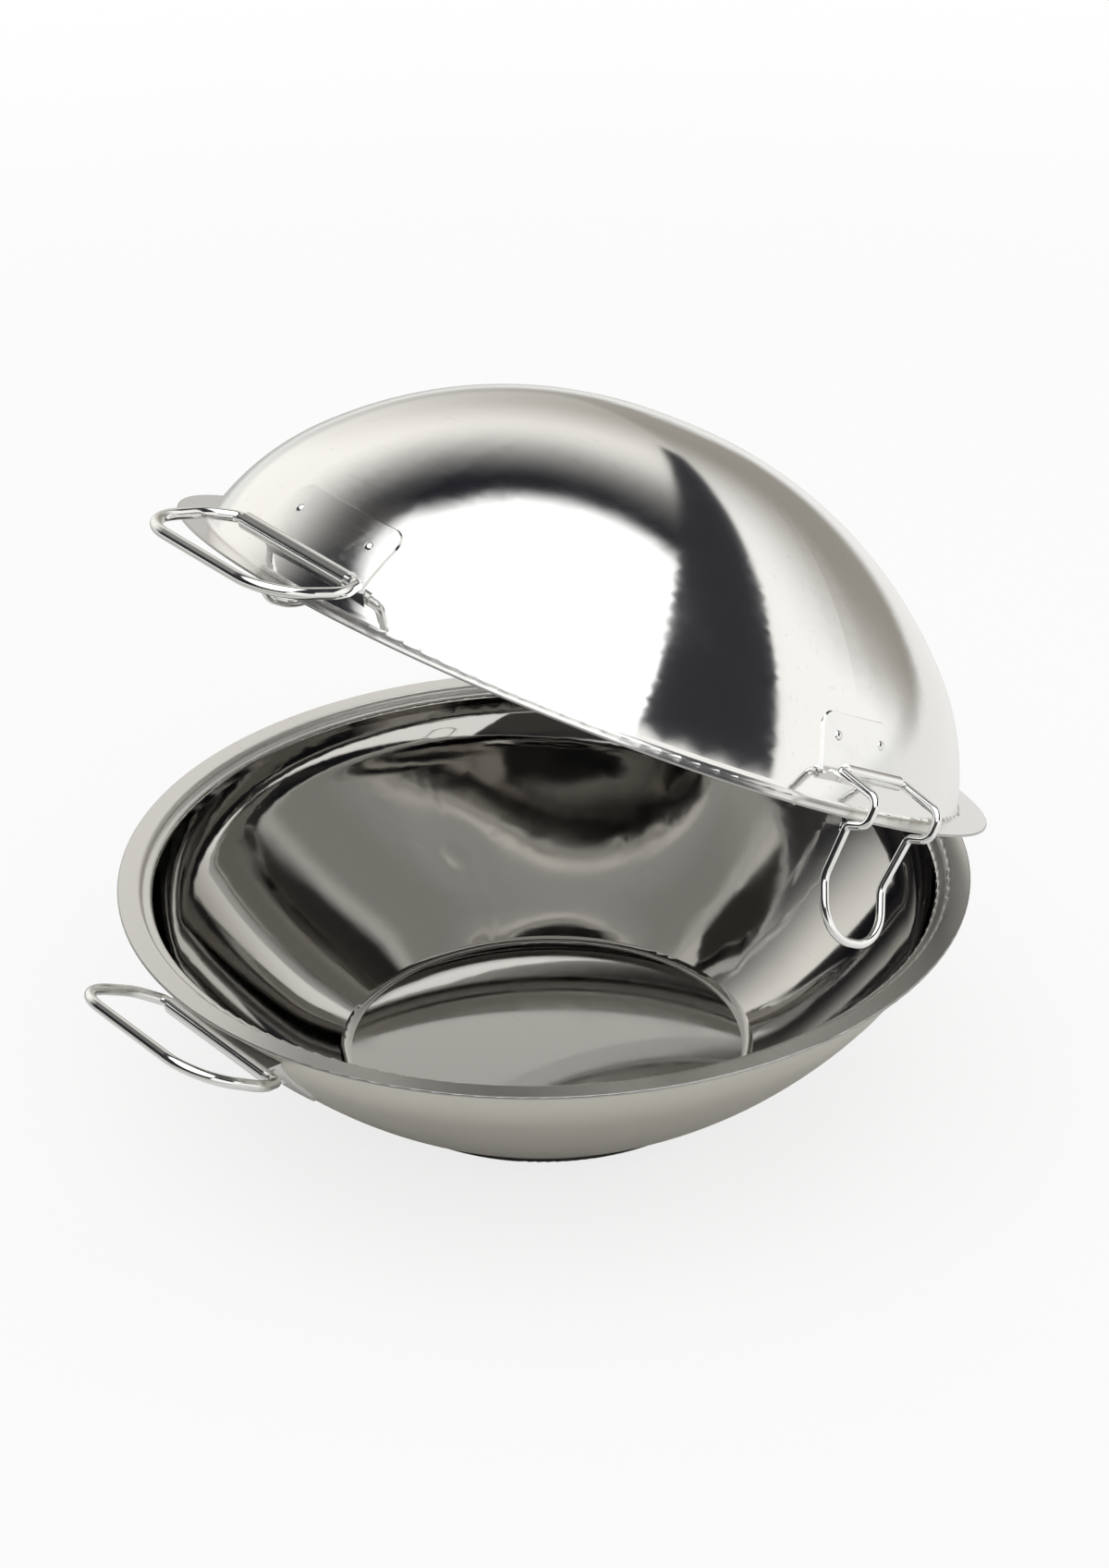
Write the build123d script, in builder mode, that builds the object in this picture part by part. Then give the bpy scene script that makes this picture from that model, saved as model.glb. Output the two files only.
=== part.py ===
from build123d import *
from math import asin, cos, degrees, radians, sin, tan
import os

# A steel cataplana: two round shells joined by a hinge at the back, with the lid standing open.
# Millimetres. The origin is the middle of the underside of the base, +Z is up, the hinge is at
# the back (+Y) and the ring handles are at the front (-Y).

# Rim and shells
flange_radius = 150.0        # outer edge of both flanges
flange_width = 11.0          # from that edge in to the outside of both walls
pan_sheet = 1.0              # thickness of the pan's steel
lid_sheet = 0.8              # thickness of the lid's steel
lid_gap = 0.3                # air between the two flanges when the lid is shut
rim_round = 0.35             # softened outer edge of each flange
lid_opening = 28.8           # how far the lid stands open, in degrees

# Pan: the wall's two bends are shares of the way out and up, from the foot to the mouth
bowl_depth = 75.0            # rim plane to the outside of the flat bottom
foot_step = 3.0              # the wall starts this far outside the base
foot_bend = 8.0
pan_bends = ((0.580, 0.363), (0.967, 0.810))
ledge_depth = 2.4            # drop from the flange to the ledge inside it
ledge_width = 3.5
tight_bend = 0.6             # smallest outside bend in the sheet
straight_leg = 3.0           # straight sheet between a bend and the wall's own curve
bend_share = 0.96            # how much of the straight runs the wall's bends take up

# Heat-spreading base
base_radius = 70.0
base_height = 4.0
cap_sheet = 0.6              # steel cup that closes in the aluminium core
cap_bend = 1.2
core_slack = 0.4             # between the core and the cup's wall
core_bend = 1.0

# Lid: the dome's two bends are shares of the way out from the centre, and up from the flange
dome_height = 89.6
lid_bends = ((0.941, 0.304), (0.480, 1.0))
flange_bend = 2.0            # outside bend between the lid's wall and its flange

# Ring handles
ring_wire = 2.0              # wire radius
ring_depth = 38.0            # barrel axis to grip
ring_hook = 4.5              # from the barrel's end to where the wire leaves its line
ring_flare = 5.75            # from there to where the arms are widest
ring_bow = 2.5               # how much narrower the arms are at the grip
ring_shoulder = 10.0         # from the barrel's axis to where the arms are widest
ring_bends = (3.5, 14.0, 18.0)
ring_sheet = 1.0             # thickness of the ring brackets
ring_barrel = 58.0           # length of the rolled barrels
ring_plate_width = 56.0
ring_plate_corner = 6.0
ring_rivet_spacing = 38.0
lid_ring_stand = 5.5         # from the wall out to the barrel's axis
lid_ring_rise = 12.8
lid_ring_plate_top = 31.5
lid_ring_rivet_rise = 23.0
lid_ring_angle = -14.0       # the ring lies this far from the rim plane, upward
pan_ring_stand = 3.5
pan_ring_drop = 17.0
pan_ring_plate_end = 38.0
pan_ring_rivet_drop = 28.0
pan_ring_angle = 26.5

# Spring-wire clamps: each bend lies this far beyond the flange's edge, to the side of the
# barrel's end, and above the rim
clamp_wire = 1.5             # wire radius
clamp_crest = (11.5, 2.3, 11.0)
clamp_heel = (11.0, 2.3, 2.0)
clamp_waist = (3.1, 2.0, -0.9)
clamp_knee = (1.4, 0.9, -19.5)
clamp_tip = (11.0, 0.4, -36.8)
clamp_bends = (2.0, 4.0, 4.0, 2.5, 8.0, 12.5)
clamp_stand = 7.0            # from the wall out to the barrel's axis
clamp_rise = 13.7
clamp_sheet = 0.9
clamp_barrel = 26.4
clamp_plate_width = 34.0
clamp_plate_corner = 5.0
clamp_plate_top = 29.0
clamp_rivet_spacing = 21.0
clamp_rivet_rise = 22.0

# Hinge: its axis lies in the rim plane
hinge_overhang = 4.5         # from the flange's edge out to the axis
pin_radius = 2.0
pin_head_radius = 3.1
pin_head_length = 1.3
pin_head_bend = 0.6
knuckle_radius = 3.6
knuckle_gap = 0.4
lid_knuckle_width = 15.6
hinge_width = 40.0
strap_sheet = 1.5
strap_tilt = 30.0            # slope of the straps between wall and knuckles, in degrees
strap_reach = 12.0           # strap that runs in past the wall, before the wall trims it
leaf_sheet = 1.2
leaf_lip = 1.1               # plate left between its straight edge and the strap
leaf_height = 21.5
leaf_corner = 6.0
leaf_rivet_spacing = 26.0
leaf_rivet_distance = 12.5   # from the plate's straight edge

# Fasteners and fits
rivet_radius = 1.0
rivet_head_radius = 1.7
rivet_head_height = 0.8
rivet_tail_radius = 1.9      # the low head on the inside
rivet_tail_height = 0.45
drill_depth = 12.0
running_clearance = 0.05     # round the wires and the pin, in the barrels that turn on them
barrel_slit = 0.8            # left open where a rolled sheet comes back to itself
wire_end_gap = 0.5           # half the gap between the two wire ends in a barrel
shelf_reach = 14.0           # sheet that runs in from a barrel, before the wall trims it

# Sizes that follow from the ones above
mouth_radius = flange_radius - flange_width
rim_height = bowl_depth + base_height
hinge_reach = flange_radius + hinge_overhang

front, right, back, left = -90.0, 0.0, 90.0, 180.0
band_half_angle = 40.0       # half the sector of wall that is used to shape a plate
wall_steps = 16              # points that a wall's curve is drawn through, less one
os.makedirs("parts", exist_ok=True)


# Places: both halves are described about the middle of the rim plane, with the lid shut

rim_centre = Location((0, 0, rim_height))
hinge_place = Location((0, hinge_reach, rim_height))
lid_turn = hinge_place * Location((0, 0, 0), (-lid_opening, 0, 0)) * hinge_place.inverse()


def on_pan(plane):
    return Plane(rim_centre * plane.location)


def on_lid(plane):
    return Plane(lid_turn * rim_centre * plane.location)


def outward(azimuth):
    return Vector(cos(radians(azimuth)), sin(radians(azimuth)), 0)


def section_plane(azimuth):
    # upright through the centre, with x outward and y up
    return Plane((0, 0, 0), x_dir=outward(azimuth), z_dir=outward(azimuth - 90))


def facing_plane(azimuth):
    # upright through the centre, looking outward, with y up
    return Plane((0, 0, 0), x_dir=outward(azimuth + 90), z_dir=outward(azimuth))


def upright_axis(place):
    centre = place(Plane.XY)
    return Axis(centre.origin, centre.z_dir)


# The outside of each wall, as a curve in the section plane that has the open air on its right


def between(start, end, shares):
    across, up = shares
    return Vector(start.X + (end.X - start.X) * across, start.Y + (end.Y - start.Y) * up)


def towards(start, end, distance):
    return start + (end - start).normalized() * distance


def bend_radii(mouth_end, near, far, far_end):
    # the bend near the mouth is as round as its short run allows, and the other takes the rest
    near_cut = bend_share * (near - mouth_end).length
    far_cut = bend_share * min((far - near).length - near_cut, (far_end - far).length)
    near_turn = (near - mouth_end).get_angle(far - near)
    far_turn = (far - near).get_angle(far_end - far)
    return near_cut / tan(radians(near_turn / 2)), far_cut / tan(radians(far_turn / 2))


def beside(guide, distance=0.0):
    # one smooth curve along a guide, outside it by this distance or inside where it is negative
    points = []
    for step in range(wall_steps + 1):
        tangent = guide % (step / wall_steps)
        points.append(guide @ (step / wall_steps) + Vector(tangent.Y, -tangent.X) * distance)
    return Spline(*points, tangents=(guide % 0, guide % 1))


def wall_sheet(wall, thickness):
    # the section of a sheet that lies on the outside of a wall, or inside where it is negative
    other = beside(wall, thickness)
    with BuildSketch() as sheet:
        with BuildLine():
            add(wall)
            add(other)
            Line(wall @ 0, other @ 0)
            Line(wall @ 1, other @ 1)
        make_face()
    return sheet.sketch


pan_foot = Vector(base_radius + foot_step, -bowl_depth)
pan_corner = Vector(mouth_radius, -ledge_depth - pan_sheet)
pan_belly, pan_shoulder = [between(pan_foot, pan_corner, shares) for shares in pan_bends]
pan_wall_low = towards(pan_foot, pan_belly, 2 * straight_leg)
pan_wall_high = towards(pan_corner, pan_shoulder, straight_leg)
shoulder_radius, belly_radius = bend_radii(pan_wall_high, pan_shoulder, pan_belly, pan_wall_low)
pan_wall = beside(FilletPolyline(
    pan_wall_low, pan_belly, pan_shoulder, pan_wall_high, radius=(belly_radius, shoulder_radius)
))

lid_flange_top = lid_gap + lid_sheet
lid_corner = Vector(mouth_radius, lid_flange_top)
lid_crown = Vector(0, dome_height)
lid_haunch, lid_brow = [
    between(Vector(0, lid_flange_top), Vector(mouth_radius, dome_height), shares) for shares in lid_bends
]
lid_wall_low = towards(lid_corner, lid_haunch, straight_leg)
lid_wall = beside(FilletPolyline(
    lid_wall_low, lid_haunch, lid_brow, lid_crown,
    radius=bend_radii(lid_wall_low, lid_haunch, lid_brow, lid_crown),
))


def wall_at(wall, height):
    # the wall's point at a height, and its outward normal there
    low, high = 0.0, 1.0
    for _ in range(40):
        middle = (low + high) / 2
        if (wall @ middle).Y < height:
            low = middle
        else:
            high = middle
    tangent = wall % middle
    return wall @ middle, Vector(tangent.Y, -tangent.X)


def rivet_planes(azimuth, spacing, height, wall):
    # two planes on the outside of a wall, each looking straight out of it
    point, normal = wall_at(wall, height)
    swing = degrees(asin(spacing / 2 / point.X))
    planes = []
    for turned in (azimuth - swing, azimuth + swing):
        out = outward(turned)
        origin = out * point.X + Vector(0, 0, point.Y)
        look = out * normal.X + Vector(0, 0, normal.Y)
        planes.append(Plane(origin, x_dir=outward(turned + 90), z_dir=look))
    return planes


# The axes of the barrels, outward from the centre and away from the rim plane
lid_ring_axis = (wall_at(lid_wall, lid_ring_rise)[0].X + lid_ring_stand, lid_ring_rise)
pan_ring_axis = (wall_at(pan_wall, -pan_ring_drop)[0].X + pan_ring_stand, pan_ring_drop)
clamp_axis = (wall_at(lid_wall, clamp_rise)[0].X + clamp_stand, clamp_rise)

# The hinge leaves: each plate starts just short of where its straps reach the wall
strap_landing = (hinge_reach - mouth_radius) * tan(radians(strap_tilt))
strap_inside = (knuckle_radius - strap_sheet) / cos(radians(strap_tilt))
leaf_near = strap_landing + strap_inside + leaf_lip
leaf_far = leaf_near + leaf_height
leaf_rivet_line = leaf_near + leaf_rivet_distance
strap_length = (hinge_reach - mouth_radius) / cos(radians(strap_tilt)) + strap_reach

lid_ring_rivets = rivet_planes(front, ring_rivet_spacing, lid_ring_rivet_rise, lid_wall)
pan_ring_rivets = rivet_planes(front, ring_rivet_spacing, -pan_ring_rivet_drop, pan_wall)
right_clamp_rivets = rivet_planes(right, clamp_rivet_spacing, clamp_rivet_rise, lid_wall)
left_clamp_rivets = rivet_planes(left, clamp_rivet_spacing, clamp_rivet_rise, lid_wall)
lid_leaf_rivets = rivet_planes(back, leaf_rivet_spacing, leaf_rivet_line, lid_wall)
pan_leaf_rivets = rivet_planes(back, leaf_rivet_spacing, -leaf_rivet_line, pan_wall)


def drill(place, planes):
    # rivet holes through whatever the open part block holds
    with Locations(*[place(plane) for plane in planes]):
        Cylinder(rivet_radius, drill_depth, mode=Mode.SUBTRACT)


# Pan

with BuildPart() as pan_shell:
    with BuildSketch(on_pan(section_plane(right))) as section:
        with BuildLine():
            FilletPolyline((0, -bowl_depth), pan_foot, pan_wall_low, radius=foot_bend)
            offset(amount=pan_sheet, side=Side.LEFT)
        make_face()
        add(wall_sheet(pan_wall, -pan_sheet))
        with BuildLine():
            FilletPolyline(
                pan_wall_high,
                pan_corner,
                (mouth_radius + ledge_width, -ledge_depth - pan_sheet),
                (mouth_radius + ledge_width, -pan_sheet),
                (flange_radius, -pan_sheet),
                radius=(tight_bend, tight_bend + pan_sheet, tight_bend),
            )
            offset(amount=pan_sheet, side=Side.LEFT)
        make_face()
        fillet(section.vertices().group_by(Axis.X)[-1], rim_round)
    revolve(axis=upright_axis(on_pan))
    drill(on_pan, pan_ring_rivets + pan_leaf_rivets)
pan_shell.part.label = "pan_shell"
export_step(pan_shell.part, "parts/pan_shell.step")

with BuildPart() as base_core:
    with BuildSketch(Plane.XY.offset(cap_sheet)):
        Circle(base_radius - cap_sheet - core_slack)
    extrude(amount=base_height - cap_sheet)
    fillet(base_core.edges().filter_by(GeomType.CIRCLE).sort_by(Axis.Z)[0], core_bend)
base_core.part.label = "base_core"
export_step(base_core.part, "parts/base_core.step")

with BuildPart() as base_cap:
    with BuildSketch(Plane.XZ):
        with BuildLine():
            FilletPolyline((0, 0), (base_radius, 0), (base_radius, base_height), radius=cap_bend)
            offset(amount=cap_sheet, side=Side.LEFT)
        make_face()
    revolve(axis=Axis.Z)
base_cap.part.label = "base_cap"
export_step(base_cap.part, "parts/base_cap.step")


# Lid

with BuildPart() as lid_shell:
    with BuildSketch(on_lid(section_plane(right))) as section:
        with BuildLine():
            FilletPolyline((flange_radius, lid_flange_top), lid_corner, lid_wall_low, radius=flange_bend)
            offset(amount=lid_sheet, side=Side.LEFT)
        make_face()
        add(wall_sheet(lid_wall, -lid_sheet))
        fillet(section.vertices().group_by(Axis.X)[-1], rim_round)
    revolve(axis=upright_axis(on_lid))
    drill(on_lid, lid_ring_rivets + right_clamp_rivets + left_clamp_rivets + lid_leaf_rivets)
lid_shell.part.label = "lid_shell"
export_step(lid_shell.part, "parts/lid_shell.step")


# Brackets: a plate that hugs the wall, bent out at one end and rolled into a barrel


def wall_band(place, azimuth, wall, thickness):
    # a sector of sheet on a wall, wider than anything else that lies there
    with BuildPart() as band:
        with BuildSketch(place(section_plane(azimuth - band_half_angle))):
            add(wall_sheet(wall, thickness))
        revolve(axis=upright_axis(place), revolution_arc=2 * band_half_angle)
    return band.part


def hugging_plate(place, azimuth, wall, up, sheet, width, near, far, corner):
    # a plate on the outside of a wall, from near to far of the rim plane, rounded at the far end
    with BuildPart() as plate:
        add(wall_band(place, azimuth, wall, sheet))
        with BuildSketch(place(facing_plane(azimuth))) as outline:
            with Locations((0, up * (near + far) / 2)):
                Rectangle(width, far - near)
            fillet(outline.vertices().group_by(Axis.Y)[-1 if up > 0 else 0], corner)
        extrude(amount=flange_radius, mode=Mode.INTERSECT)
    return plate.part


def rolled_bracket(place, azimuth, wall, up, axis, wire, sheet, barrel, plate_size, rivets):
    # up is 1 on the lid and -1 on the pan, where the bracket hangs the other way
    reach, rise = axis
    width, plate_end, corner = plate_size
    bore = wire + running_clearance
    roll = bore + sheet
    with BuildPart() as bracket:
        with BuildSketch(place(section_plane(azimuth))):
            with Locations((reach, up * rise)):
                Circle(roll)
            with Locations((reach - shelf_reach / 2, up * (rise - roll + sheet / 2))):
                Rectangle(shelf_reach, sheet)
            with Locations((reach, up * rise)):
                Circle(bore, mode=Mode.SUBTRACT)
            with Locations((reach - (roll + bore / 2) / 2, up * (rise - bore + barrel_slit / 2))):
                Rectangle(roll - bore / 2, barrel_slit, mode=Mode.SUBTRACT)
        extrude(amount=barrel / 2, both=True)
        add(wall_band(place, azimuth, wall, -shelf_reach), mode=Mode.SUBTRACT)
        add(hugging_plate(place, azimuth, wall, up, sheet, width, rise - roll, plate_end, corner))
        drill(place, rivets)
    return bracket


def rivet_pair(place, planes, plate_sheet, wall_sheet):
    top, bottom = plate_sheet + rivet_head_height, -wall_sheet - rivet_tail_height
    with BuildPart() as pair:
        for plane in planes:
            spot = place(plane)
            with BuildSketch(Plane(spot.origin, x_dir=spot.x_dir, z_dir=-spot.y_dir)):
                with BuildLine():
                    TangentArc((0, top), (rivet_head_radius, plate_sheet), tangent=(1, 0))
                    Polyline(
                        (rivet_head_radius, plate_sheet),
                        (rivet_radius, plate_sheet),
                        (rivet_radius, -wall_sheet),
                        (rivet_tail_radius, -wall_sheet),
                    )
                    TangentArc((0, bottom), (rivet_tail_radius, -wall_sheet), tangent=(1, 0))
                    Line((0, bottom), (0, top))
                make_face()
            revolve(axis=Axis(spot.origin, spot.z_dir))
    return pair


lid_ring_plate = (ring_plate_width, lid_ring_plate_top, ring_plate_corner)
lid_front_bracket = rolled_bracket(
    on_lid, front, lid_wall, 1, lid_ring_axis, ring_wire, ring_sheet, ring_barrel, lid_ring_plate,
    lid_ring_rivets,
)
lid_front_bracket.part.label = "lid_front_bracket"
export_step(lid_front_bracket.part, "parts/lid_front_bracket.step")

lid_front_rivets = rivet_pair(on_lid, lid_ring_rivets, ring_sheet, lid_sheet)
lid_front_rivets.part.label = "lid_front_rivets"
export_step(lid_front_rivets.part, "parts/lid_front_rivets.step")

pan_ring_plate = (ring_plate_width, pan_ring_plate_end, ring_plate_corner)
pan_front_bracket = rolled_bracket(
    on_pan, front, pan_wall, -1, pan_ring_axis, ring_wire, ring_sheet, ring_barrel, pan_ring_plate,
    pan_ring_rivets,
)
pan_front_bracket.part.label = "pan_front_bracket"
export_step(pan_front_bracket.part, "parts/pan_front_bracket.step")

pan_front_rivets = rivet_pair(on_pan, pan_ring_rivets, ring_sheet, pan_sheet)
pan_front_rivets.part.label = "pan_front_rivets"
export_step(pan_front_rivets.part, "parts/pan_front_rivets.step")

clamp_plate = (clamp_plate_width, clamp_plate_top, clamp_plate_corner)
for side, azimuth, rivets in (("right", right, right_clamp_rivets), ("left", left, left_clamp_rivets)):
    clamp_bracket = rolled_bracket(
        on_lid, azimuth, lid_wall, 1, clamp_axis, clamp_wire, clamp_sheet, clamp_barrel, clamp_plate, rivets
    )
    clamp_bracket.part.label = f"{side}_clamp_bracket"
    export_step(clamp_bracket.part, f"parts/{side}_clamp_bracket.step")

    clamp_rivets = rivet_pair(on_lid, rivets, clamp_sheet, lid_sheet)
    clamp_rivets.part.label = f"{side}_clamp_rivets"
    export_step(clamp_rivets.part, f"parts/{side}_clamp_rivets.step")


# Hinge: a leaf on each half, with straps that run out to knuckles on one pin


def hinge_leaf(place, wall, up, bore, knuckles, rivets):
    tilt = radians(strap_tilt)
    pivot = Vector(hinge_reach, 0)
    inward = Vector(-cos(tilt), up * sin(tilt))
    away = Vector(sin(tilt), up * cos(tilt))
    outside = pivot + away * knuckle_radius
    inside = pivot + away * (knuckle_radius - strap_sheet)
    strap = [outside, outside + inward * strap_length, inside + inward * strap_length, inside]
    with BuildPart() as leaf:
        for middle, width in knuckles:
            with BuildSketch(place(section_plane(back)).offset(middle)):
                Polygon(*strap, align=None)
                with Locations(pivot):
                    Circle(knuckle_radius)
                    Circle(bore, mode=Mode.SUBTRACT)
            extrude(amount=width / 2, both=True)
        add(wall_band(place, back, wall, -shelf_reach), mode=Mode.SUBTRACT)
        add(hugging_plate(place, back, wall, up, leaf_sheet, hinge_width, leaf_near, leaf_far, leaf_corner))
        drill(place, rivets)
    return leaf


pan_knuckle_width = (hinge_width - lid_knuckle_width) / 2 - knuckle_gap
pan_knuckle_middle = (hinge_width - pan_knuckle_width) / 2
pan_knuckles = [(-pan_knuckle_middle, pan_knuckle_width), (pan_knuckle_middle, pan_knuckle_width)]
hinge_pan_leaf = hinge_leaf(on_pan, pan_wall, -1, pin_radius, pan_knuckles, pan_leaf_rivets)
hinge_pan_leaf.part.label = "hinge_pan_leaf"
export_step(hinge_pan_leaf.part, "parts/hinge_pan_leaf.step")

lid_knuckles = [(0, lid_knuckle_width)]
lid_bore = pin_radius + running_clearance
hinge_lid_leaf = hinge_leaf(on_lid, lid_wall, 1, lid_bore, lid_knuckles, lid_leaf_rivets)
hinge_lid_leaf.part.label = "hinge_lid_leaf"
export_step(hinge_lid_leaf.part, "parts/hinge_lid_leaf.step")

hinge_pan_rivets = rivet_pair(on_pan, pan_leaf_rivets, leaf_sheet, pan_sheet)
hinge_pan_rivets.part.label = "hinge_pan_rivets"
export_step(hinge_pan_rivets.part, "parts/hinge_pan_rivets.step")

hinge_lid_rivets = rivet_pair(on_lid, lid_leaf_rivets, leaf_sheet, lid_sheet)
hinge_lid_rivets.part.label = "hinge_lid_rivets"
export_step(hinge_lid_rivets.part, "parts/hinge_lid_rivets.step")

with BuildPart() as hinge_pin:
    pin_plane = on_pan(section_plane(back))
    with BuildSketch(pin_plane):
        with Locations((hinge_reach, 0)):
            Circle(pin_radius)
    extrude(amount=hinge_width / 2, both=True)
    for end in (1, -1):
        with BuildSketch(pin_plane.offset(end * hinge_width / 2)):
            with Locations((hinge_reach, 0)):
                Circle(pin_head_radius)
        extrude(amount=end * pin_head_length)
    rims = hinge_pin.edges().filter_by(GeomType.CIRCLE).group_by(Axis.X)
    fillet(rims[0] + rims[-1], pin_head_bend)
hinge_pin.part.label = "hinge_pin"
export_step(hinge_pin.part, "parts/hinge_pin.step")


# Bent wires: each starts and ends in the middle of its barrel


def bent_wire(plane, half, bends, radius):
    # half an outline, followed by its mirror image across y = 0
    other_half = [(x, -y, z) for x, y, z in reversed(half)]
    with BuildPart() as wire:
        with BuildLine(plane) as path:
            FilletPolyline(*half, *other_half, radius=bends + bends[::-1])
        with BuildSketch(Plane(path.wire() @ 0, z_dir=path.wire() % 0)):
            Circle(radius)
        sweep(path=path.wire())
    return wire


def ring_handle(place, up, axis, angle):
    # the ring lies in a tilted plane: x runs from the barrel to the grip, y along the barrel
    reach, rise = axis
    barrel_middle = outward(front) * reach + Vector(0, 0, up * rise)
    to_grip = outward(front) * cos(radians(angle)) + Vector(0, 0, sin(radians(angle)))
    plane = Plane(barrel_middle, x_dir=to_grip, z_dir=to_grip.cross(outward(right)))
    hook = ring_barrel / 2 + ring_hook
    half = [
        (0, wire_end_gap, 0),
        (0, hook, 0),
        (ring_shoulder, hook + ring_flare, 0),
        (ring_depth, hook + ring_flare - ring_bow, 0),
    ]
    return bent_wire(place(plane), half, ring_bends, ring_wire)


def spring_clamp(azimuth):
    # x is outward from the middle of the rim plane, y along the rim, z up
    plane = Plane((0, 0, 0), x_dir=outward(azimuth), z_dir=(0, 0, 1))
    reach, rise = clamp_axis
    end = clamp_barrel / 2
    half = [(reach, wire_end_gap, rise), (reach, end + clamp_crest[1], rise)]
    for beyond, aside, above in (clamp_crest, clamp_heel, clamp_waist, clamp_knee, clamp_tip):
        half.append((flange_radius + beyond, end + aside, above))
    return bent_wire(on_lid(plane), half, clamp_bends, clamp_wire)


lid_ring_handle = ring_handle(on_lid, 1, lid_ring_axis, lid_ring_angle)
lid_ring_handle.part.label = "lid_ring_handle"
export_step(lid_ring_handle.part, "parts/lid_ring_handle.step")

pan_ring_handle = ring_handle(on_pan, -1, pan_ring_axis, pan_ring_angle)
pan_ring_handle.part.label = "pan_ring_handle"
export_step(pan_ring_handle.part, "parts/pan_ring_handle.step")

for side, azimuth in (("right", right), ("left", left)):
    clamp = spring_clamp(azimuth)
    clamp.part.label = f"{side}_clamp_wire"
    export_step(clamp.part, f"parts/{side}_clamp_wire.step")
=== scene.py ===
import bpy
import bmesh
from math import cos, radians, sin
from mathutils import Matrix, Vector

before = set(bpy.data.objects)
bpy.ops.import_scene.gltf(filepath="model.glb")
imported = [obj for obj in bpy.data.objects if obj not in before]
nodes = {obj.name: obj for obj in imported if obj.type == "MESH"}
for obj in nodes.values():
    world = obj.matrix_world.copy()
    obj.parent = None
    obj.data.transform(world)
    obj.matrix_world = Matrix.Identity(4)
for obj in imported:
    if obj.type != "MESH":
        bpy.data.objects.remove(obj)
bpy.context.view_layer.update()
print("frame loaded:", len(nodes), "nodes")


def addNode(tree, kind, inputs=None, **settings):
    node = tree.nodes.new(kind)
    for key, value in settings.items():
        setattr(node, key, value)
    for key, value in (inputs or {}).items():
        if isinstance(value, bpy.types.NodeSocket):
            tree.links.new(value, node.inputs[key])
        else:
            node.inputs[key].default_value = value
    return node


def calc(tree, operation, a, b=0.0, c=0.0):
    return addNode(tree, "ShaderNodeMath", {0: a, 1: b, 2: c}, operation=operation).outputs[0]


def vectorCalc(tree, operation, a, b=None):
    # lengths, distances and dot products come out as one number, the rest as a vector
    inputs = {0: a} if b is None else {0: a, 1: b}
    node = addNode(tree, "ShaderNodeVectorMath", inputs, operation=operation)
    return node.outputs["Value" if operation in ("LENGTH", "DISTANCE", "DOT_PRODUCT") else "Vector"]


def step(tree, value, low, high, toLow=0.0, toHigh=1.0):
    # smooth change from toLow to toHigh as value goes from low to high
    inputs = {"Value": value, "From Min": low, "From Max": high, "To Min": toLow, "To Max": toHigh}
    return addNode(tree, "ShaderNodeMapRange", inputs, interpolation_type="SMOOTHSTEP").outputs["Result"]


def mixColor(tree, factor, a, b):
    mix = addNode(tree, "ShaderNodeMix", data_type="RGBA")
    for socket, value in ((mix.inputs[0], factor), (mix.inputs[6], a), (mix.inputs[7], b)):
        if isinstance(value, bpy.types.NodeSocket):
            tree.links.new(value, socket)
        elif isinstance(value, (int, float)):
            socket.default_value = value
        else:
            socket.default_value = (*value, 1)
    return mix.outputs[2]


def levelWay(azimuth):
    # the level direction of an azimuth, counted as the camera's is
    turn = radians(azimuth)
    return sin(turn), -cos(turn), 0


cameraView = {
    "azimuth": 52.57,
    "elevation": 29.83,
    "roll": -1.04,
    "distance": 1.512,
    "aim": (0, 0, 0.079),            # middle of the pan's rim
    "aimPixel": (588.1, 937.7),      # where that point is in the photograph
    "frame": (1200, 1697),
    "focalPixels": 4639,
    "sensor": 36,
    "clip": (0.01, 50),
}


def makeCamera(view):
    azimuth, elevation, roll = (radians(view[key]) for key in ("azimuth", "elevation", "roll"))
    back = Vector((sin(azimuth) * cos(elevation), -cos(azimuth) * cos(elevation), sin(elevation)))
    right = Vector((cos(azimuth), sin(azimuth), 0))
    up = back.cross(right)
    tilted = Matrix((right * cos(roll) + up * sin(roll), up * cos(roll) - right * sin(roll), back))
    width, height = view["frame"]
    data = bpy.data.cameras.new("photoCamera")
    data.sensor_width = view["sensor"]
    data.lens = view["focalPixels"] / height * view["sensor"]
    data.shift_x = (width / 2 - view["aimPixel"][0]) / height
    data.shift_y = (view["aimPixel"][1] - height / 2) / height
    data.clip_start, data.clip_end = view["clip"]
    camera = bpy.data.objects.new("photoCamera", data)
    place = Vector(view["aim"]) + back * view["distance"]
    camera.matrix_world = Matrix.Translation(place) @ tilted.transposed().to_4x4()
    bpy.context.scene.collection.objects.link(camera)
    bpy.context.scene.camera = camera


makeCamera(cameraView)
print("camera placed")


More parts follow.
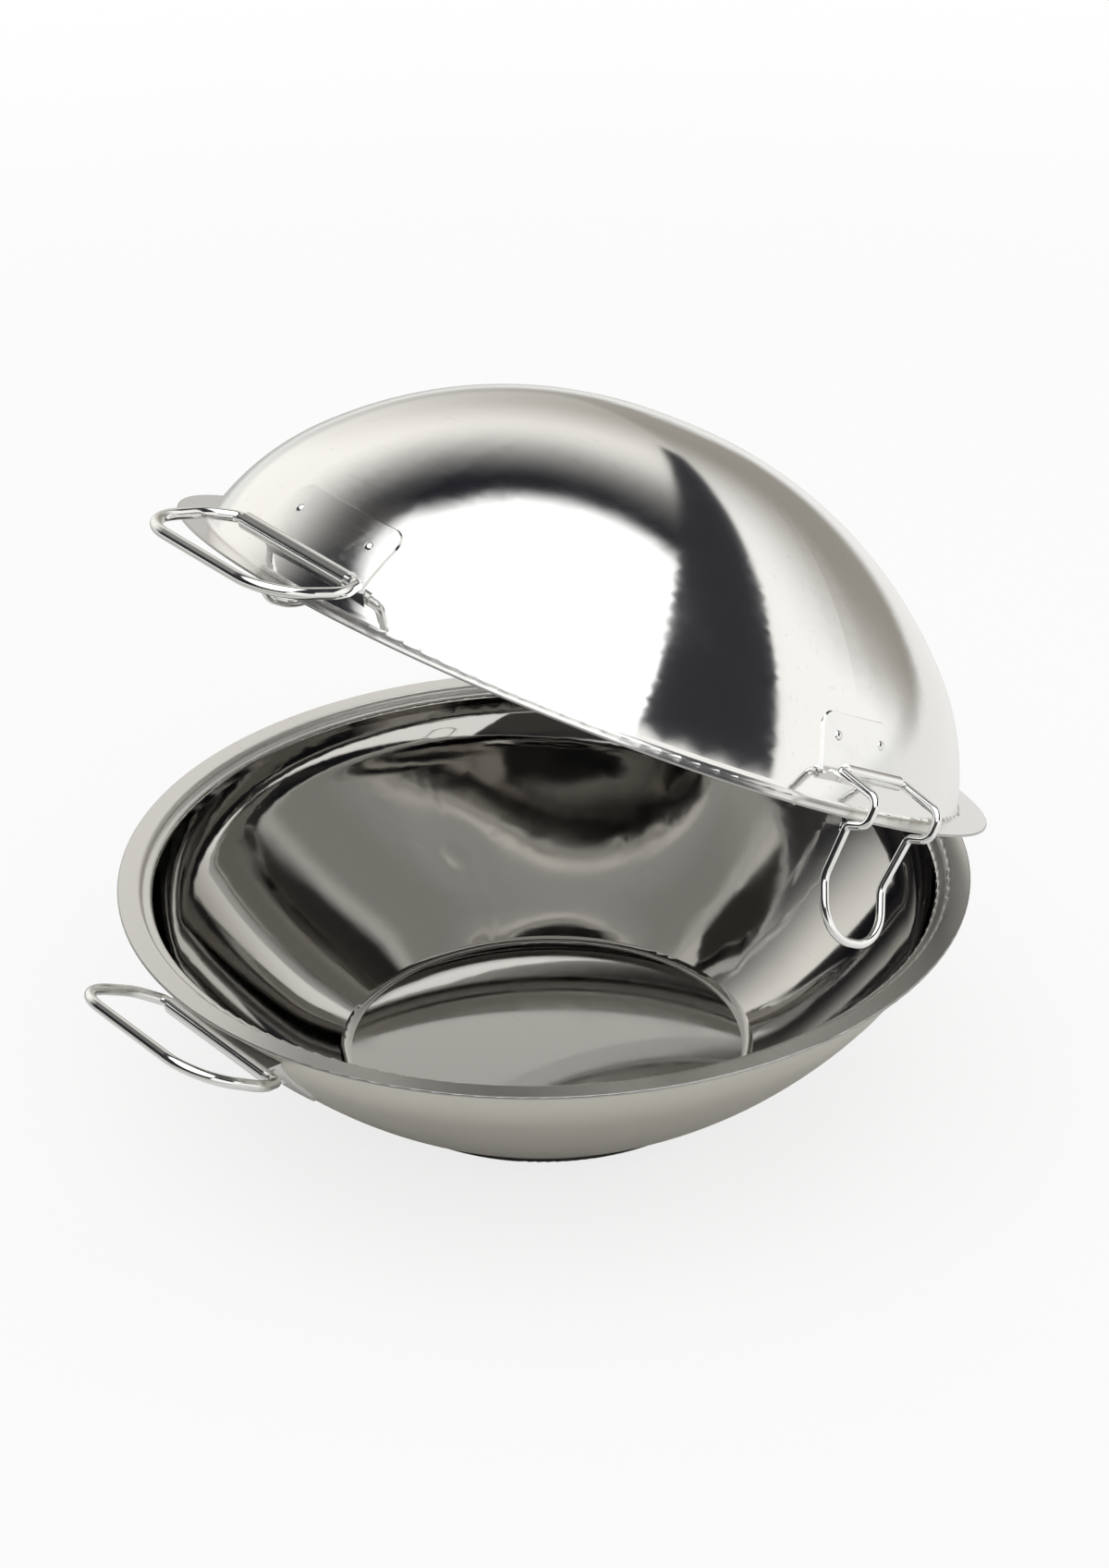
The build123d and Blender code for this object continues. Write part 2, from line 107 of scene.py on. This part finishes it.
# The studio that the polished shells mirror. Heights are the upward share of a direction,
# spreads are how squarely a direction faces an azimuth, and each pair fades from 0 to 1.
studioLight = {
    "dark": (0.014, 0.014, 0.020),       # the dark room, with patches a little lighter
    "patches": (0.06, 0.056, 0.052),
    "patchSize": 1.6,
    "patchFade": (0.40, 0.70),
    "haze": (1.10, 1.085, 1.03),         # pale haze behind on the left
    "hazeAzimuth": -115,
    "hazeSpread": (0.45, 0.90),
    "hazeHeight": (0.77, 0.34),
    "lamp": 1.65,                        # big soft light overhead
    "lampMiddle": (0.45, -0.20),         # where it hangs, for each unit of height
    "lampSize": (1.24, 1.02),
    "lampHeight": (0.02, 0.06),
    "horizon": (0.335, 0.315, 0.28),     # grey low down, on one side
    "horizonAzimuth": -152,
    "horizonSpread": (0.70, 1.0),
    "horizonHeight": (0.55, 0.08),
    "horizonShare": 0.85,
    "flag": (0.034, 0.034, 0.040),       # dark flag behind on the right
    "flagLeft": ((0.540, 0.713, -0.447), 0.123),     # its edges: a direction, and how far along it
    "flagRight": ((0.170, 0.858, -0.485), 0.464),
    "flagLow": ((-0.080, 0.604, 0.793), 0.345),
    "edgeSoft": 0.008,
    "tipAzimuth": -144,                  # the flag's low corner here is cut off
    "tipSpread": (0.75, 0.80),
    "tipHeight": (0.29, 0.25),
    "board": (1.12, 1.11, 1.08),         # white board round the flag
    "ground": (0.9, 0.9, 0.88),
    "groundHeight": (-0.02, -0.10),
    "greyGroundHeight": (-0.22, -0.10),  # the horizon's grey reaches down to here
}


def makeWorld(light):
    world = bpy.data.worlds.new("studio")
    world.use_nodes = True
    tree = world.node_tree
    tree.nodes.clear()
    direction = addNode(tree, "ShaderNodeTexCoord").outputs["Generated"]
    x, y, z = addNode(tree, "ShaderNodeSeparateXYZ", {0: direction}).outputs
    level = vectorCalc(tree, "NORMALIZE", addNode(tree, "ShaderNodeCombineXYZ", {0: x, 1: y}).outputs[0])

    def both(a, b):
        return calc(tree, "MULTIPLY", a, b)

    def outside(a):
        return calc(tree, "SUBTRACT", 1.0, a)

    def facing(azimuth, spread):
        return step(tree, vectorCalc(tree, "DOT_PRODUCT", level, levelWay(azimuth)), *spread)

    def past(edge):
        towards, distance = edge
        reach = vectorCalc(tree, "DOT_PRODUCT", direction, towards)
        return step(tree, reach, distance - light["edgeSoft"], distance + light["edgeSoft"])

    cloud = addNode(tree, "ShaderNodeTexNoise", {
        "Vector": direction, "Scale": light["patchSize"], "Detail": 2.0, "Roughness": 0.5})
    color = mixColor(tree, step(tree, cloud.outputs["Fac"], *light["patchFade"]), light["dark"], light["patches"])
    haze = both(step(tree, z, *light["hazeHeight"]), facing(light["hazeAzimuth"], light["hazeSpread"]))
    color = mixColor(tree, haze, color, light["haze"])

    scale = calc(tree, "DIVIDE", 1.0, calc(tree, "MAXIMUM", z, light["lampHeight"][0]))
    ceiling = addNode(tree, "ShaderNodeVectorMath", {0: direction, "Scale": scale}, operation="SCALE").outputs[0]
    spread = vectorCalc(tree, "DISTANCE", ceiling, (*light["lampMiddle"], 1))
    lamp = both(step(tree, spread, *light["lampSize"]), step(tree, z, *light["lampHeight"]))
    color = mixColor(tree, lamp, color, [light["lamp"]] * 3)

    low = both(step(tree, z, *light["horizonHeight"]), facing(light["horizonAzimuth"], light["horizonSpread"]))
    board = mixColor(tree, low, light["board"], light["horizon"])
    color = mixColor(tree, both(low, light["horizonShare"]), color, light["horizon"])
    tip = both(step(tree, z, *light["tipHeight"]), facing(light["tipAzimuth"], light["tipSpread"]))
    beside, above = past(light["flagLeft"]), past(light["flagLow"])
    color = mixColor(tree, both(beside, outside(above)), color, board)
    color = mixColor(tree, both(both(beside, above), outside(tip)), color, light["flag"])
    color = mixColor(tree, past(light["flagRight"]), color, board)
    greyGround = both(low, step(tree, z, *light["greyGroundHeight"]))
    ground = mixColor(tree, greyGround, light["ground"], light["horizon"])
    color = mixColor(tree, step(tree, z, *light["groundHeight"]), color, ground)

    # the camera sees plain white, and everything else sees the studio
    studio = addNode(tree, "ShaderNodeBackground", {"Color": color, "Strength": 1.0})
    white = addNode(tree, "ShaderNodeBackground", {"Color": (1, 1, 1, 1), "Strength": 1.0})
    seen = addNode(tree, "ShaderNodeLightPath").outputs["Is Camera Ray"]
    final = addNode(tree, "ShaderNodeMixShader", {0: seen, 1: studio.outputs[0], 2: white.outputs[0]})
    addNode(tree, "ShaderNodeOutputWorld", {"Surface": final.outputs[0]})
    bpy.context.scene.world = world


tableTop = {
    "radius": 1.5,
    "segments": 96,
    "drop": 0.0002,                      # just under the base, so that they don't flicker
    "color": (0.90, 0.90, 0.895),
    "clear": (0.75, 1.3),                # fades to nothing between these distances
    "seenWhite": 0.80,                   # share of plain white in what the camera sees
    "mirroredShare": 0.80,               # the same in what the metal mirrors, and where it starts: a painted reflection
    "mirrored": (0.12, 0.40),
    # painted reflection: the glow the metal mirrors is grey in front and near white to the side
    "paintedReflectionFront": (0.46, 0.455, 0.43),
    "paintedReflectionSide": (0.95, 0.94, 0.92),
    "sideAzimuth": 150,
    "sideFade": (-0.05, 0.35),
}


def makeTable(top):
    bm = bmesh.new()
    bmesh.ops.create_circle(bm, cap_ends=True, segments=top["segments"], radius=top["radius"])
    bmesh.ops.translate(bm, verts=bm.verts, vec=(0, 0, -top["drop"]))
    mesh = bpy.data.meshes.new("table")
    bm.to_mesh(mesh)
    bm.free()
    table = bpy.data.objects.new("table", mesh)
    bpy.context.scene.collection.objects.link(table)
    material = bpy.data.materials.new("paleTable")
    material.use_nodes = True
    tree = material.node_tree
    tree.nodes.clear()
    place = addNode(tree, "ShaderNodeTexCoord").outputs["Object"]
    ray = addNode(tree, "ShaderNodeLightPath").outputs
    away = vectorCalc(tree, "LENGTH", place)
    aside = vectorCalc(tree, "DOT_PRODUCT", place, levelWay(top["sideAzimuth"]))
    # painted reflection: in glossy rays the table glows grey in front and near white to the side, while the
    # camera sees white
    shade = mixColor(tree, step(tree, aside, *top["sideFade"]), top["paintedReflectionFront"], top["paintedReflectionSide"])
    shade = mixColor(tree, ray["Is Camera Ray"], shade, (1, 1, 1))
    mirrored = step(tree, away, *top["mirrored"], 0.0, top["mirroredShare"])
    mirrored = calc(tree, "MULTIPLY", ray["Is Glossy Ray"], mirrored)
    plain = calc(tree, "MULTIPLY_ADD", ray["Is Camera Ray"], top["seenWhite"], mirrored)
    cloth = addNode(tree, "ShaderNodeBsdfDiffuse", {"Color": (*top["color"], 1)})
    white = addNode(tree, "ShaderNodeEmission", {"Color": shade, "Strength": 1.0})
    surface = addNode(tree, "ShaderNodeMixShader", {0: plain, 1: cloth.outputs[0], 2: white.outputs[0]})
    clear = addNode(tree, "ShaderNodeBsdfTransparent")
    edge = step(tree, away, *top["clear"])
    mixed = addNode(tree, "ShaderNodeMixShader", {0: edge, 1: surface.outputs[0], 2: clear.outputs[0]})
    addNode(tree, "ShaderNodeOutputMaterial", {"Surface": mixed.outputs[0]})
    mesh.materials.append(material)


makeWorld(studioLight)
makeTable(tableTop)
bpy.context.scene.view_settings.view_transform = "Standard"
print("studio ready")


def makeGroup(name, inputs, outputs):
    group = bpy.data.node_groups.new(name, "ShaderNodeTree")
    for label, kind, value in inputs:
        socket = group.interface.new_socket(label, in_out="INPUT", socket_type=kind)
        if value is not None:
            socket.default_value = value
    for label in outputs:
        group.interface.new_socket(label, in_out="OUTPUT", socket_type="NodeSocketFloat")
    return group, group.nodes.new("NodeGroupInput").outputs, group.nodes.new("NodeGroupOutput").inputs


def makeSpunLines():
    # fine lines round the Z axis, as a buffing wheel leaves them on a spun shell
    group, given, result = makeGroup(
        "spunLines",
        (("Vector", "NodeSocketVector", None), ("Lean", "NodeSocketFloat", 1.0),
         ("Lines", "NodeSocketFloat", 900.0), ("Length", "NodeSocketFloat", 0.3)),
        ("Lines",))
    x, y, z = addNode(group, "ShaderNodeSeparateXYZ", {0: given["Vector"]}).outputs
    flat = addNode(group, "ShaderNodeCombineXYZ", {0: x, 1: y}).outputs[0]
    radius = vectorCalc(group, "LENGTH", flat)
    around = addNode(group, "ShaderNodeSeparateXYZ", {0: vectorCalc(group, "NORMALIZE", flat)}).outputs
    path = calc(group, "MULTIPLY_ADD", radius, given["Lean"], z)
    fine = addNode(group, "ShaderNodeCombineXYZ", {
        0: calc(group, "MULTIPLY", around[0], given["Length"]),
        1: calc(group, "MULTIPLY", around[1], given["Length"]),
        2: calc(group, "MULTIPLY", path, given["Lines"])}).outputs[0]
    lines = addNode(group, "ShaderNodeTexNoise", {"Vector": fine, "Scale": 1.0, "Detail": 4.0, "Roughness": 0.6})
    group.links.new(lines.outputs["Fac"], result["Lines"])
    return group


wear = {
    "smudgeFade": (0.45, 0.72),
    "scratchFade": (0.70, 0.76),
    "scratchSets": ((0.6, 8.0), (-0.9, 11.0)),       # turn and size of each set
    "scratchTurns": (1, 0.7, 1.9),                   # shares of that turn about X, Y and Z
    "scratchLength": 45,                             # times as long as wide
}


def makeHandling(marks):
    # faint smudges and short scratches left by use
    group, given, result = makeGroup(
        "handling",
        (("Vector", "NodeSocketVector", None), ("Size", "NodeSocketFloat", 30.0)),
        ("Smudge", "Scratch"))
    cloud = addNode(group, "ShaderNodeTexNoise", {
        "Vector": given["Vector"], "Scale": given["Size"], "Detail": 5.0, "Roughness": 0.62, "Distortion": 0.6})
    smudge = step(group, cloud.outputs["Fac"], *marks["smudgeFade"])
    streaks = []
    for turn, size in marks["scratchSets"]:
        thin = size * marks["scratchLength"]
        laid = addNode(group, "ShaderNodeMapping", {
            "Vector": given["Vector"], "Scale": (size, thin, thin),
            "Rotation": [turn * share for share in marks["scratchTurns"]]})
        hair = addNode(group, "ShaderNodeTexNoise", {"Vector": laid.outputs[0], "Scale": 1.0, "Detail": 1.0})
        streaks.append(step(group, hair.outputs["Fac"], *marks["scratchFade"]))
    group.links.new(smudge, result["Smudge"])
    group.links.new(calc(group, "MAXIMUM", *streaks), result["Scratch"])
    return group


spunLines, handling = makeSpunLines(), makeHandling(wear)
print("shared patterns made")


def startMetal(name, color, rough):
    material = bpy.data.materials.new(name)
    material.use_nodes = True
    tree = material.node_tree
    shader = tree.nodes["Principled BSDF"]
    shader.inputs["Metallic"].default_value = 1.0
    shader.inputs["Base Color"].default_value = (*color, 1)
    shader.inputs["Roughness"].default_value = rough
    return material, tree, shader


def addBump(tree, shader, height):
    bump = addNode(tree, "ShaderNodeBump", {"Height": height, "Distance": 0.0001, "Strength": 1.0})
    tree.links.new(bump.outputs[0], shader.inputs["Normal"])


# The shells: polished lid, satin pan, both mirror bright inside
lidOuter = {
    "color": (0.82, 0.815, 0.80),
    "rough": 0.085,
    "flange": (0.82, 0.815, 0.80),
    "flangeRough": 0.22,
    "lines": 950,
    "lean": -1.0,                        # which way a line leans as it goes outwards
    "bump": 0.008,
    "outsideFrom": -0.05,                # faces that look away from this height on the axis are outside
}

panOuter = {
    "color": (0.61, 0.595, 0.535),
    "rough": 0.30,
    # painted highlight: the pan's flange is coloured far paler than its wall, for a bright line along the rim
    "flange": (0.92, 0.91, 0.88),
    "flangeRough": 0.34,
    "lines": 900,
    "lean": 1.0,
    "bump": 0.12,
    "outsideFrom": 0.10,
}

shellInner = {
    "color": (0.57, 0.56, 0.54),
    "rough": 0.045,
    "bump": 0.006,
}

shellRim = {
    "flangeFrom": 0.1385,                # distance out from the shell's axis
    "cutFrom": 0.1496,
    "cut": (0.45, 0.445, 0.43),
    "cutRough": 0.34,
}

shellWear = {
    "lineShare": 0.35,                   # how far the spun lines change the roughness
    "lineLeast": 0.82,
    "smudgeRough": 0.035,
    "scratchShare": 0.12,
    "scratch": (0.45, 0.45, 0.44),
}

shellPlaces = {
    "rimHeight": 0.079,
    "hingeBehind": 0.1545,
    "opening": 28.8,
}


def shellMetal(name, outer, inner, rim, marks, centre, tilt):
    # one shell, its outside and its inside; centre and tilt put the pattern on its axis
    material, tree, shader = startMetal(name, outer["color"], outer["rough"])
    coordinates = addNode(tree, "ShaderNodeTexCoord").outputs
    centred = addNode(tree, "ShaderNodeMapping", {
        "Vector": coordinates["Object"], "Location": [-c for c in centre]}).outputs[0]
    place = addNode(tree, "ShaderNodeMapping", {"Vector": centred, "Rotation": (tilt, 0, 0)}).outputs[0]
    normal = addNode(tree, "ShaderNodeMapping", {
        "Vector": coordinates["Normal"], "Rotation": (tilt, 0, 0)}, vector_type="NORMAL").outputs[0]
    fromMiddle = vectorCalc(tree, "SUBTRACT", place, (0, 0, outer["outsideFrom"]))
    outside = calc(tree, "GREATER_THAN", vectorCalc(tree, "DOT_PRODUCT", normal, fromMiddle), 0.0)
    reach = vectorCalc(tree, "LENGTH", vectorCalc(tree, "MULTIPLY", place, (1, 1, 0)))
    flange = calc(tree, "GREATER_THAN", reach, rim["flangeFrom"])
    edge = calc(tree, "GREATER_THAN", reach, rim["cutFrom"])
    spun = addNode(tree, "ShaderNodeGroup", {"Vector": place}, node_tree=spunLines)
    spun.inputs["Lean"].default_value = outer["lean"]
    spun.inputs["Lines"].default_value = outer["lines"]
    used = addNode(tree, "ShaderNodeGroup", {"Vector": place}, node_tree=handling)

    def onSide(key):
        return calc(tree, "ADD", calc(tree, "MULTIPLY", outside, outer[key] - inner[key]), inner[key])

    uneven = calc(tree, "MULTIPLY_ADD", spun.outputs["Lines"], marks["lineShare"], marks["lineLeast"])
    rough = calc(tree, "MULTIPLY", onSide("rough"), uneven)
    rough = calc(tree, "MULTIPLY_ADD", used.outputs["Smudge"], marks["smudgeRough"], rough)
    rough = calc(tree, "MAXIMUM", rough, calc(tree, "MULTIPLY", flange, outer["flangeRough"]))
    rough = calc(tree, "MAXIMUM", rough, calc(tree, "MULTIPLY", edge, rim["cutRough"]))
    tree.links.new(rough, shader.inputs["Roughness"])
    shade = mixColor(tree, outside, inner["color"], outer["color"])
    # on the pan this paints a highlight, its flange being coloured far paler than its wall
    shade = mixColor(tree, flange, shade, outer["flange"])
    shade = mixColor(tree, edge, shade, rim["cut"])
    scratched = calc(tree, "MULTIPLY", used.outputs["Scratch"], marks["scratchShare"])
    tree.links.new(mixColor(tree, scratched, shade, marks["scratch"]), shader.inputs["Base Color"])
    addBump(tree, shader, calc(tree, "MULTIPLY", spun.outputs["Lines"], onSide("bump")))
    return material


# Pressed sheet, wire and rivets: grain gives how often the pattern repeats along X, Y and Z
# the base cap is coloured near black, far darker than the steel above it
baseSteel = {"color": (0.13, 0.125, 0.12), "rough": 0.38, "grain": (300, 300, 900), "bump": 0.2}
coreAluminium = {"color": (0.80, 0.80, 0.81), "rough": 0.42, "grain": (400, 400, 400), "bump": 0.2}
bracketSteel = {"color": (0.80, 0.80, 0.79), "rough": 0.12, "grain": (40, 700, 700), "bump": 0.06}
wireSteel = {"color": (0.83, 0.83, 0.82), "rough": 0.10, "grain": (200, 200, 200), "bump": 0.05}
rivetSteel = {"color": (0.78, 0.78, 0.77), "rough": 0.14, "grain": (500, 500, 500), "bump": 0.08}

smallWear = {
    "grainShare": 0.6,                   # how far the grain changes the roughness
    "grainLeast": 0.7,
    "smudgeSize": 90.0,
    "smudgeRough": 0.06,
    "smudgeShare": 0.15,
    "smudgeDarker": 0.82,
}


def smallMetal(name, metal, marks):
    color = metal["color"]
    material, tree, shader = startMetal(name, color, metal["rough"])
    place = addNode(tree, "ShaderNodeTexCoord").outputs["Object"]
    stretched = addNode(tree, "ShaderNodeMapping", {"Vector": place, "Scale": metal["grain"]}).outputs[0]
    noise = addNode(tree, "ShaderNodeTexNoise", {
        "Vector": stretched, "Scale": 1.0, "Detail": 4.0, "Roughness": 0.6}).outputs["Fac"]
    used = addNode(tree, "ShaderNodeGroup", {"Vector": place}, node_tree=handling)
    used.inputs["Size"].default_value = marks["smudgeSize"]
    smudge = used.outputs["Smudge"]
    uneven = calc(tree, "MULTIPLY_ADD", noise, marks["grainShare"], marks["grainLeast"])
    uneven = calc(tree, "MULTIPLY", uneven, metal["rough"])
    rough = calc(tree, "MULTIPLY_ADD", smudge, marks["smudgeRough"], uneven)
    tree.links.new(rough, shader.inputs["Roughness"])
    smudged = calc(tree, "MULTIPLY", smudge, marks["smudgeShare"])
    shade = mixColor(tree, smudged, color, [c * marks["smudgeDarker"] for c in color])
    tree.links.new(shade, shader.inputs["Base Color"])
    addBump(tree, shader, calc(tree, "MULTIPLY", noise, metal["bump"]))
    return material


# the lid's own axis starts at the middle of its rim, which the hinge carries up
opening = radians(shellPlaces["opening"])
panMiddle = Vector((0, 0, shellPlaces["rimHeight"]))
hingeReach = Vector((0, shellPlaces["hingeBehind"], 0))
lidMiddle = panMiddle + hingeReach + Matrix.Rotation(-opening, 3, "X") @ -hingeReach

finishes = {
    "lidSteel": shellMetal("lidSteel", lidOuter, shellInner, shellRim, shellWear, lidMiddle, opening),
    "panSteel": shellMetal("panSteel", panOuter, shellInner, shellRim, shellWear, panMiddle, 0.0),
    "baseSteel": smallMetal("baseSteel", baseSteel, smallWear),
    "coreAluminium": smallMetal("coreAluminium", coreAluminium, smallWear),
    "bracketSteel": smallMetal("bracketSteel", bracketSteel, smallWear),
    "wireSteel": smallMetal("wireSteel", wireSteel, smallWear),
    "rivetSteel": smallMetal("rivetSteel", rivetSteel, smallWear),
}

# a piece's finish goes by its whole name, or else by its last word
finishOf = {
    "lid_shell": "lidSteel",
    "pan_shell": "panSteel",
    "base_cap": "baseSteel",
    "base_core": "coreAluminium",
    "hinge_pin": "rivetSteel",
    "rivets": "rivetSteel",
    "wire": "wireSteel",
    "handle": "wireSteel",
    "bracket": "bracketSteel",
    "leaf": "bracketSteel",
}

for name, node in nodes.items():
    finish = finishOf.get(name) or finishOf[name.split("_")[-1]]
    node.data.materials.clear()
    node.data.materials.append(finishes[finish])
print("finishes given")
